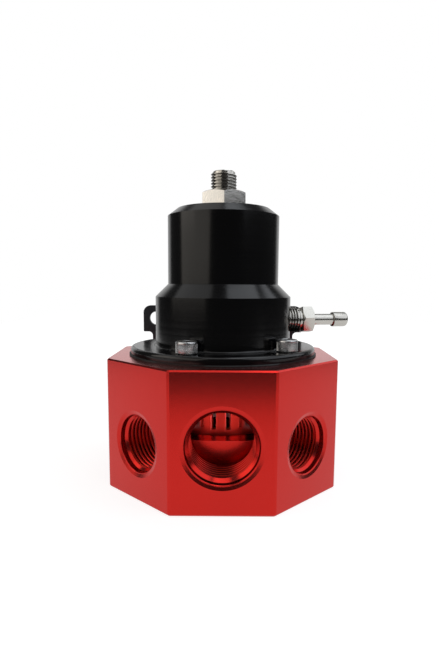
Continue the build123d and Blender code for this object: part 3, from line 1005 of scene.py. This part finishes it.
@dataclass
class CoverScrews:
    """Four knurled socket-head cap screws, M5 by 16, through the cover's flange."""

    circle: float = 35.0
    # Plan angle of the middle of the front pair, and from there to each of its screws.
    clocking: float = 12.0
    half_angle: float = 35.5
    seat_z: float = 58.5
    head_d: float = 8.5
    head_h: float = 5.0
    shank_d: float = 5.0
    shank_l: float = 16.0
    key: float = 4.0
    key_depth: float = 2.6
    key_mouth: float = 4.3
    key_edge: float = 0.12
    key_cone: float = 0.5
    # Rows of the rounded rim: distance inside the head's radius, and below its top.
    rim: tuple[tuple[float, float], ...] = (
        (0.55, 0.0), (0.34, 0.07), (0.16, 0.22), (0.05, 0.44), (0.03, 0.8), (0.14, 0.95),
    )
    # Rows of the rounded foot: distance inside the head's radius, and above the seat.
    foot: tuple[tuple[float, float], ...] = ((0.14, 0.75), (0.26, 0.45), (0.62, 0.0))
    point: float = 0.5
    # The ridges: how many, half the width of each, its middle inside the head's radius, and the
    # heights between which they stand.
    knurls: int = 60
    wedge: float = 0.18
    wedge_in: float = 0.19
    knurl_from: float = 0.5
    knurl_to: float = 4.0

    def _screw(self, knurl: KnurlTree) -> bpy.types.Mesh:
        """Makes one screw standing on its head's underside at the origin.

        Args:
            knurl: The knurling tree.

        Returns:
            The screw's mesh.
        """
        head_r, shank_r, top = self.head_d / 2, self.shank_d / 2, self.head_h
        rows = [
            ring(0.0, top - self.key_depth - self.key_cone),
            hex_row(self.key, top - self.key_depth),
            hex_row(self.key, top - self.key_edge),
            hex_row(self.key_mouth, top),
            *[ring(head_r - inwards, top - down) for inwards, down in self.rim],
            *[ring(head_r - inwards, up) for inwards, up in self.foot],
            ring(shank_r, 0.0),
            ring(shank_r, self.point - self.shank_l),
            ring(shank_r - self.point, -self.shank_l),
            ring(0.0, -self.shank_l),
        ]
        wedges = knurl.grow(
            SCREW_STAINLESS,
            {
                "Count": self.knurls, "Step": 2 * math.pi / self.knurls,
                "Drum Radius": (head_r - self.wedge_in) * MM, "Wedge": self.wedge * MM,
                "Height": (self.knurl_to - self.knurl_from) * MM,
                "Lift": (self.knurl_from + self.knurl_to) / 2 * MM,
            },
        )
        single = join("one_cover_screw", [polar_solid(rows, COLUMNS), wedges], SCREW_STAINLESS)
        mesh = single.data
        bpy.data.objects.remove(single)
        return mesh

    def build(self, knurl: KnurlTree, circle: ScrewCircleTree) -> bpy.types.Object:
        """Builds the four screws as one piece.

        Args:
            knurl: The knurling tree.
            circle: The tree that sets the screws on their circle.

        Returns:
            The piece.
        """
        screws = circle.grow(
            SCREW_STAINLESS,
            {
                "Circle": self.circle * MM, "Height": self.seat_z * MM,
                "First Turn": math.radians(self.clocking - self.half_angle),
                "Pair Turn": math.radians(2 * self.half_angle),
            },
            start=self._screw(knurl),
        )
        piece = join("cover_screws_knurled", [screws], SCREW_STAINLESS)
        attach(piece, HOUSING)
        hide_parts(*[f"cover_screw_{number}" for number in range(1, 5)])
        return piece


@dataclass
class AdjustingStud:
    """The threaded stud that sets the spring, with a key socket in its top."""

    tip_z: float = 104.8
    top_z: float = 133.15
    tip_r: float = 3.6
    key: float = 4.76
    key_depth: float = 5.0
    key_edge: float = 0.2
    key_cone: float = 0.8
    # Rows of the top's edge: distance inside the thread's core, and below the top.
    rim: tuple[tuple[float, float], ...] = ((0.15, 0.0), (-0.12, 0.3), (0.0, 0.45))
    thread: Thread = Thread(11.11, 1.27)

    def build(self, tree: ThreadTree) -> bpy.types.Object:
        """Builds the stud and rides it on the adjuster.

        Args:
            tree: The thread tree.

        Returns:
            The piece.
        """
        core_r = self.thread.minor(inside=False)
        thread_from = self.tip_z + core_r - self.tip_r
        thread_to = self.top_z - self.rim[-1][1]
        rows = [
            ring(0.0, self.top_z - self.key_depth - self.key_cone),
            hex_row(self.key, self.top_z - self.key_depth),
            hex_row(self.key, self.top_z - self.key_edge),
            hex_row(self.key + 2 * self.key_edge, self.top_z),
            *[ring(core_r - inwards, self.top_z - down) for inwards, down in self.rim],
            ring(core_r, thread_from),
            ring(self.tip_r, self.tip_z),
            ring(0.0, self.tip_z),
        ]
        ridge = self.thread.ridge(tree, STAINLESS, thread_from, thread_to)
        piece = join("adjusting_stud_threaded", [polar_solid(rows, COLUMNS), ridge], STAINLESS)
        self.thread.paint_flank_shade(piece.data, thread_from, thread_to)
        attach(piece, "adjuster")
        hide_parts("adjusting_screw")
        return piece


@dataclass
class HoseFitting:
    """The barbed hose fitting in the side of the cover. Distances are from the stem's axis."""

    angle: float = 102.0
    height: float = 69.3
    thread: Thread = Thread(11.11, 1.27)
    thread_from: float = 25.37
    groove_from: float = 35.1
    groove_d: float = 9.5
    hex_from: float = 36.3
    hex_t: float = 5.4
    hex_flats: float = 11.11
    # Flat end as a share of the size across the flats, chamfer and turn in degrees.
    hex_face: float = 0.96
    hex_chamfer: float = 30.0
    hex_turn: float = 19.6
    stem_d: float = 5.1
    barb_from: float = 52.0
    barb_d: float = 6.8
    barb_l: float = 7.2
    barb_heel: float = 0.25
    barb_round: float = 1.5
    bore_d: float = 2.6
    bore_edge: float = 0.3
    # Length of a shoulder's fall, and how far the groove's neck runs into the hexagon.
    shoulder: float = 0.1
    hex_lap: float = 0.5

    def build(self, tree: ThreadTree) -> bpy.types.Object:
        """Builds the fitting and rides it on the housing.

        Args:
            tree: The thread tree.

        Returns:
            The piece.
        """
        core_r = self.thread.minor(inside=False)
        bore_r, stem_r = self.bore_d / 2, self.stem_d / 2
        groove_r, barb_r = self.groove_d / 2, self.barb_d / 2
        tip = self.barb_from + self.barb_l
        hex_end = self.hex_from + self.hex_t
        outline = [
            (bore_r, self.thread_from),
            (core_r, self.thread_from),
            (core_r, self.groove_from),
            (groove_r, self.groove_from + self.shoulder),
            (groove_r, self.hex_from + self.hex_lap),
            (stem_r, self.hex_from + self.hex_lap + self.shoulder),
            (stem_r, self.barb_from),
            (barb_r, self.barb_from),
            (barb_r, tip),
            (bore_r + self.bore_edge, tip),
            (bore_r, tip - self.bore_edge),
        ]
        heel, outer = outline.index((barb_r, self.barb_from)), outline.index((barb_r, tip))
        rounds = {heel: self.barb_heel, outer: self.barb_round}
        barrel = polar_solid(rounded(outline, rounds), COLUMNS, looped=True)
        face_r = self.hex_face * self.hex_flats / 2
        fall = math.tan(math.radians(self.hex_chamfer))
        hex_rows = [
            ring(stem_r, self.hex_from),
            ring(face_r, self.hex_from),
            hex_row(self.hex_flats, self.hex_from, face_r, -fall),
            hex_row(self.hex_flats, hex_end, face_r, fall),
            ring(face_r, hex_end),
            ring(stem_r, hex_end),
        ]
        hexagon = polar_solid(hex_rows, HEX_COLUMNS, looped=True)
        hexagon.transform(Matrix.Rotation(math.radians(self.hex_turn), 4, "Z"))
        ridge = self.thread.ridge(tree, FITTING_STAINLESS, self.thread_from, self.groove_from)
        piece = join("boost_fitting_barbed", [barrel, hexagon, ridge], FITTING_STAINLESS)
        self.thread.paint_flank_shade(piece.data, self.thread_from, self.groove_from)
        piece.data.transform(facing(self.angle, 0.0, self.height))
        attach(piece, HOUSING)
        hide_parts("boost_fitting")
        return piece


def merged_copy(node: str) -> bpy.types.Mesh:
    """Copies a CAD node's mesh with its loose triangles joined.

    Args:
        node: The node's name.

    Returns:
        The copy.
    """
    mesh = frame["nodes"][node].data.copy()
    build = bmesh.new()
    build.from_mesh(mesh)
    bmesh.ops.remove_doubles(build, verts=build.verts, dist=WELD)
    build.to_mesh(mesh)
    build.free()
    return mesh


def cut_off(mesh: bpy.types.Mesh, spot: Vector, outwards: Vector) -> None:
    """Cuts off what lies beyond a plane and closes the cut.

    Args:
        mesh: A closed mesh.
        spot: A point on the plane, in metres.
        outwards: The plane's direction, towards what goes.
    """
    build = bmesh.new()
    build.from_mesh(mesh)
    parts = build.verts[:] + build.edges[:] + build.faces[:]
    made = bmesh.ops.bisect_plane(
        build, geom=parts, dist=ON_PLANE, plane_co=spot, plane_no=outwards, clear_outer=True
    )
    rim = [part for part in made["geom_cut"] if isinstance(part, bmesh.types.BMEdge)]
    bmesh.ops.edgenet_fill(build, edges=rim)
    bmesh.ops.recalc_face_normals(build, faces=build.faces)
    build.to_mesh(mesh)
    build.free()


@dataclass
class ValveCage:
    """The slotted sleeve in the chamber, whose bars show through the front port."""

    def build(self) -> bpy.types.Object:
        """Copies the CAD sleeve in its rougher finish and rides it on the housing.

        Returns:
            The piece.
        """
        piece = join("valve_cage_sleeve", [merged_copy("valve_cage")], RED_SLEEVE)
        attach(piece, HOUSING)
        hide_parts("valve_cage")
        return piece


@dataclass
class ControlSpring:
    """The coil, whose foot rises with the valve and whose top goes down with its seat."""

    foot_z: float = 57.9
    still_z: float = 66.0  # the coil doesn't move here
    seat_z: float = 103.0

    def build(self) -> list[bpy.types.Object]:
        """Cuts the CAD coil at the height that stays still into a foot part and a top part.

        Returns:
            The pieces.
        """
        foot, top = merged_copy("control_spring"), merged_copy("control_spring")
        still = Vector((0.0, 0.0, self.still_z * MM))
        cut_off(foot, still, Vector((0.0, 0.0, 1.0)))
        cut_off(top, still, Vector((0.0, 0.0, -1.0)))
        pieces = [
            join("control_spring_foot", [foot], SPRING_STEEL, sharp=CAD_SHARP),
            join("control_spring_coil", [top], SPRING_STEEL, sharp=CAD_SHARP),
        ]
        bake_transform(pieces[0])
        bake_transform(pieces[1])
        for piece in pieces:
            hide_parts("control_spring")
        return pieces


@dataclass
class Diaphragm:
    """The rubber diaphragm, clamped at its rim and lifted at its middle by the valve.

    The disc is made in equal sectors, each cut from the CAD disc.
    """

    roll_from: float = 21.4
    roll_to: float = 26.6
    sectors: int = 12

    def build(self) -> list[bpy.types.Object]:
        """Cuts the CAD disc into sectors.

        Returns:
            The pieces.
        """
        pieces = []
        half = 180 / self.sectors
        for number in range(self.sectors):
            angle = 2 * half * number
            mesh = merged_copy("diaphragm")
            for side in (-1, 1):
                cut_off(mesh, Vector((0.0, 0.0, 0.0)), heading(angle + side * (half + 90)))
            piece = join(f"diaphragm_sector_{number + 1:02d}", [mesh], RUBBER, sharp=CAD_SHARP)
            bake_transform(piece)
            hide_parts("diaphragm")
            pieces.append(piece)
        return pieces


def dress_nodes() -> None:
    """Paints every CAD node that stays with the finish of its material slot."""
    for entry in frame["record"]["subparts"]:
        node = frame["nodes"][entry["node"]]
        finish = FINISHES[entry["material_slot"]]
        for slot in node.material_slots:
            slot.material = finish.material()
        LOG.info("%s gets %s", entry["node"], finish.name)


@dataclass(frozen=True)
class PhotoCamera:
    """The photograph's camera, fitted to the body's edges, in degrees and millimetres."""

    focal_px: float = 501.25
    centre_px: tuple[float, float] = (222.7, 345.86)
    frame_px: tuple[int, int] = (439, 659)
    pitch: float = 7.097
    roll: float = 0.393
    yaw: float = 0.105
    distance: float = 223.38
    height: float = 85.56
    sensor: float = 36.0
    # Nearest and farthest distance that it sees, in metres.
    clip: tuple[float, float] = (0.005, 20.0)

    def build(self) -> bpy.types.Object:
        """Creates the camera and makes it the scene's.

        Returns:
            The camera.
        """
        data = bpy.data.cameras.new("photo_camera")
        data.sensor_width = self.sensor
        tall = max(self.frame_px)
        data.lens = self.focal_px * self.sensor / tall
        data.shift_x = (self.frame_px[0] / 2 - self.centre_px[0]) / tall
        data.shift_y = (self.centre_px[1] - self.frame_px[1] / 2) / tall
        data.clip_start, data.clip_end = self.clip
        made = add_object("photo_camera", data)
        made.matrix_world = (
            Matrix.Rotation(math.radians(-self.yaw), 4, "Z")
            @ Matrix.Translation((0.0, -self.distance * MM, self.height * MM))
            @ Matrix.Rotation(math.radians(90 - self.pitch), 4, "X")
            @ Matrix.Rotation(math.radians(self.roll), 4, "Z")
        )
        bpy.context.scene.camera = made
        return made


@dataclass(frozen=True)
class Softbox:
    """A rectangular studio light that points at the object.

    Attributes:
        name: Its name.
        azimuth: Plan angle of its place.
        elevation: Height of its place as an angle above the floor.
        distance: Distance from the target in metres.
        size: Width and height in metres.
        radiance: How bright its face looks, where 1 is white.
        tint: Its colour, sRGB.
        target_z: Height in metres at which it points.
    """

    name: str
    azimuth: float
    elevation: float
    distance: float
    size: tuple[float, float]
    radiance: float
    tint: str = "FFFFFF"
    target_z: float = 0.08

    def build(self) -> bpy.types.Object:
        """Creates the light.

        Returns:
            The light.
        """
        data = bpy.data.lights.new(self.name, "AREA")
        data.color = linear(self.tint)[:3]
        data.shape = "RECTANGLE"
        data.size, data.size_y = self.size
        data.energy = self.radiance * math.pi * self.size[0] * self.size[1]
        made = add_object(self.name, data)
        lift = math.radians(self.elevation)
        out = heading(self.azimuth) * math.cos(lift) + Vector((0, 0, math.sin(lift)))
        spot = Vector((0.0, 0.0, self.target_z)) + out * self.distance
        made.matrix_world = (
            Matrix.Translation(spot) @ out.to_track_quat("Z", "Y").to_matrix().to_4x4()
        )
        return made


@dataclass(frozen=True)
class ChamberLight:
    """A small lamp in the chamber: light that the open ports let in, cast on the cage's bars.

    Attributes:
        name: Its name.
        angle: Plan angle at which it stands.
        size: Width and height in millimetres.
        radiance: How bright its face looks, where 1 is white.
        reach: Its distance from the stem's axis.
        height: Height of its middle above the base.
        spread: Full angle of its beam in degrees, kept narrow so that the foot flange stays dark.
    """

    name: str
    angle: float
    size: tuple[float, float]
    radiance: float
    reach: float = 19.5
    height: float = 26.6
    spread: float = 34.0

    def build(self, lit: bpy.types.Collection) -> bpy.types.Object:
        """Creates the lamp, which no camera ray sees.

        Args:
            lit: The collection of the pieces that it lights.

        Returns:
            The lamp.
        """
        data = bpy.data.lights.new(self.name, "AREA")
        data.shape = "RECTANGLE"
        data.size, data.size_y = self.size[0] * MM, self.size[1] * MM
        data.energy = self.radiance * math.pi * data.size * data.size_y
        data.spread = math.radians(self.spread)
        made = add_object(self.name, data)
        made.matrix_world = facing(self.angle, self.reach, self.height)
        made.visible_camera = False
        made.light_linking.receiver_collection = lit
        return made


@dataclass(frozen=True)
class Studio:
    """White sweep, softboxes and a dark room on the camera's side, in metres. 1 is white."""

    front_edge: float = -0.24
    side_edge: float = 0.45
    back_edge: float = 1.2
    floor_white: float = 0.84
    # The floor turns from that to white between these distances from the object.
    white_from: float = 0.08
    white_by: float = 0.3
    floor_glow: float = 0.56
    floor_hex: str = "A0A0A0"
    room_dark: float = 0.05
    room_white: float = 0.72
    # The room turns from dark to white between these parts of the way to the back.
    behind_from: float = 0.68
    behind_by: float = 0.84
    lights: tuple[Softbox, ...] = field(
        default=(
            Softbox("key_left", -60.0, 22.0, 0.75, (1.0, 0.66), 0.76, "FFF8EE"),
            Softbox("key_far_left", -76.0, 28.0, 0.74, (0.46, 0.5), 0.5, "FFF8EE"),
            Softbox("right", 80.0, 36.3, 0.78, (1.3, 0.62), 1.05, "F4F8FF"),
            Softbox("overhead_right", 97.0, 72.0, 0.7, (0.6, 0.36), 1.3, "F4F9FF"),
            Softbox("overhead_left", -115.0, 62.0, 0.7, (0.6, 0.46), 0.5),
            Softbox("overhead_front", 0.0, 67.0, 0.72, (0.46, 0.26), 1.2),
        )
    )
    inner_lights: tuple[ChamberLight, ...] = field(
        default=(
            ChamberLight("chamber_front", -3.0, (16.0, 9.0), 0.85),
            ChamberLight("chamber_left", -50.0, (14.0, 9.0), 0.85),
            ChamberLight("chamber_right", 44.0, (14.0, 9.0), 0.85),
        )
    )

    def build(self) -> None:
        """Builds the floor, the lights and the world."""
        self._floor()
        for light in self.lights:
            light.build()
        self._world()
        bpy.context.scene.view_settings.view_transform = "Standard"

    def light_chamber(self, piece: bpy.types.Object) -> None:
        """Lights one piece inside the chamber and nothing else.

        Args:
            piece: The piece.
        """
        lit = bpy.data.collections.new("lit_in_the_chamber")
        lit.objects.link(piece)
        for light in self.inner_lights:
            light.build(lit)

    def _floor(self) -> None:
        """Lays the pale floor, which keeps the object's shadow."""
        mesh = bpy.data.meshes.new("floor")
        x, y0, y1 = self.side_edge, self.front_edge, self.back_edge
        mesh.from_pydata([(-x, y0, 0), (x, y0, 0), (x, y1, 0), (-x, y1, 0)], [], [(0, 1, 2, 3)])
        paper = bpy.data.materials.new("white_paper_sweep")
        paper.use_nodes = True
        tree = paper.node_tree
        tree.nodes.clear()
        matt = add_node(tree, "ShaderNodeBsdfDiffuse", {"Color": linear(self.floor_hex)})
        path = add_node(tree, "ShaderNodeLightPath").outputs
        spot = add_node(tree, "ShaderNodeTexCoord").outputs["Object"]
        away = add_node(tree, "ShaderNodeVectorMath", {0: spot}, operation="LENGTH")
        white = add_node(
            tree,
            "ShaderNodeMapRange",
            {
                "Value": away.outputs["Value"], "From Min": self.white_from,
                "From Max": self.white_by, "To Min": self.floor_white, "To Max": 1.0,
            },
            interpolation_type="SMOOTHSTEP",
        )
        seen = add_node(
            tree, MATH, {0: path["Is Glossy Ray"], 1: self.floor_glow}, operation="MULTIPLY"
        )
        strength = add_node(
            tree, MATH, {0: path["Is Camera Ray"], 1: white, 2: seen}, operation="MULTIPLY_ADD"
        )
        glow = add_node(tree, "ShaderNodeEmission", {"Strength": strength})
        both = add_node(tree, "ShaderNodeAddShader", {0: matt, 1: glow})
        add_node(tree, "ShaderNodeOutputMaterial", {"Surface": both})
        mesh.materials.append(paper)
        add_object("floor", mesh)

    def _world(self) -> None:
        """Makes the room: white behind the object, dark behind the camera, white to the camera."""
        world = bpy.data.worlds.new("studio")
        world.use_nodes = True
        bpy.context.scene.world = world
        tree = world.node_tree
        tree.nodes.clear()
        way = add_node(tree, "ShaderNodeTexCoord").outputs["Generated"]
        behind = add_node(
            tree,
            "ShaderNodeMapRange",
            {
                "Value": add_node(tree, "ShaderNodeSeparateXYZ", {0: way}).outputs["Y"],
                "From Min": self.behind_from, "From Max": self.behind_by,
                "To Min": self.room_dark, "To Max": self.room_white,
            },
            interpolation_type="SMOOTHSTEP",
        )
        camera = add_node(tree, "ShaderNodeLightPath").outputs["Is Camera Ray"]
        level = add_node(tree, MATH, {0: behind, 1: camera}, operation="MAXIMUM")
        light = add_node(
            tree, "ShaderNodeBackground", {"Color": (1.0, 1.0, 1.0, 1.0), "Strength": level}
        )
        add_node(tree, "ShaderNodeOutputWorld", {"Surface": light})


def main() -> None:
    logging.basicConfig(level=logging.INFO, format="%(name)s: %(message)s")
    PhotoCamera().build()
    studio = Studio()
    studio.build()
    dress_nodes()
    threads = ThreadTree()
    pieces = Manifold().build(threads)
    pieces.append(CoverScrews().build(KnurlTree(), ScrewCircleTree()))
    pieces.append(AdjustingStud().build(threads))
    pieces.append(HoseFitting().build(threads))
    pieces += ControlSpring().build() + Diaphragm().build()
    pieces.append(ValveCage().build())
    studio.light_chamber(pieces[-1])
    for piece in pieces:
        LOG.info("%s has %d faces", piece.name, len(piece.data.polygons))


if __name__ == "__main__":
    main()
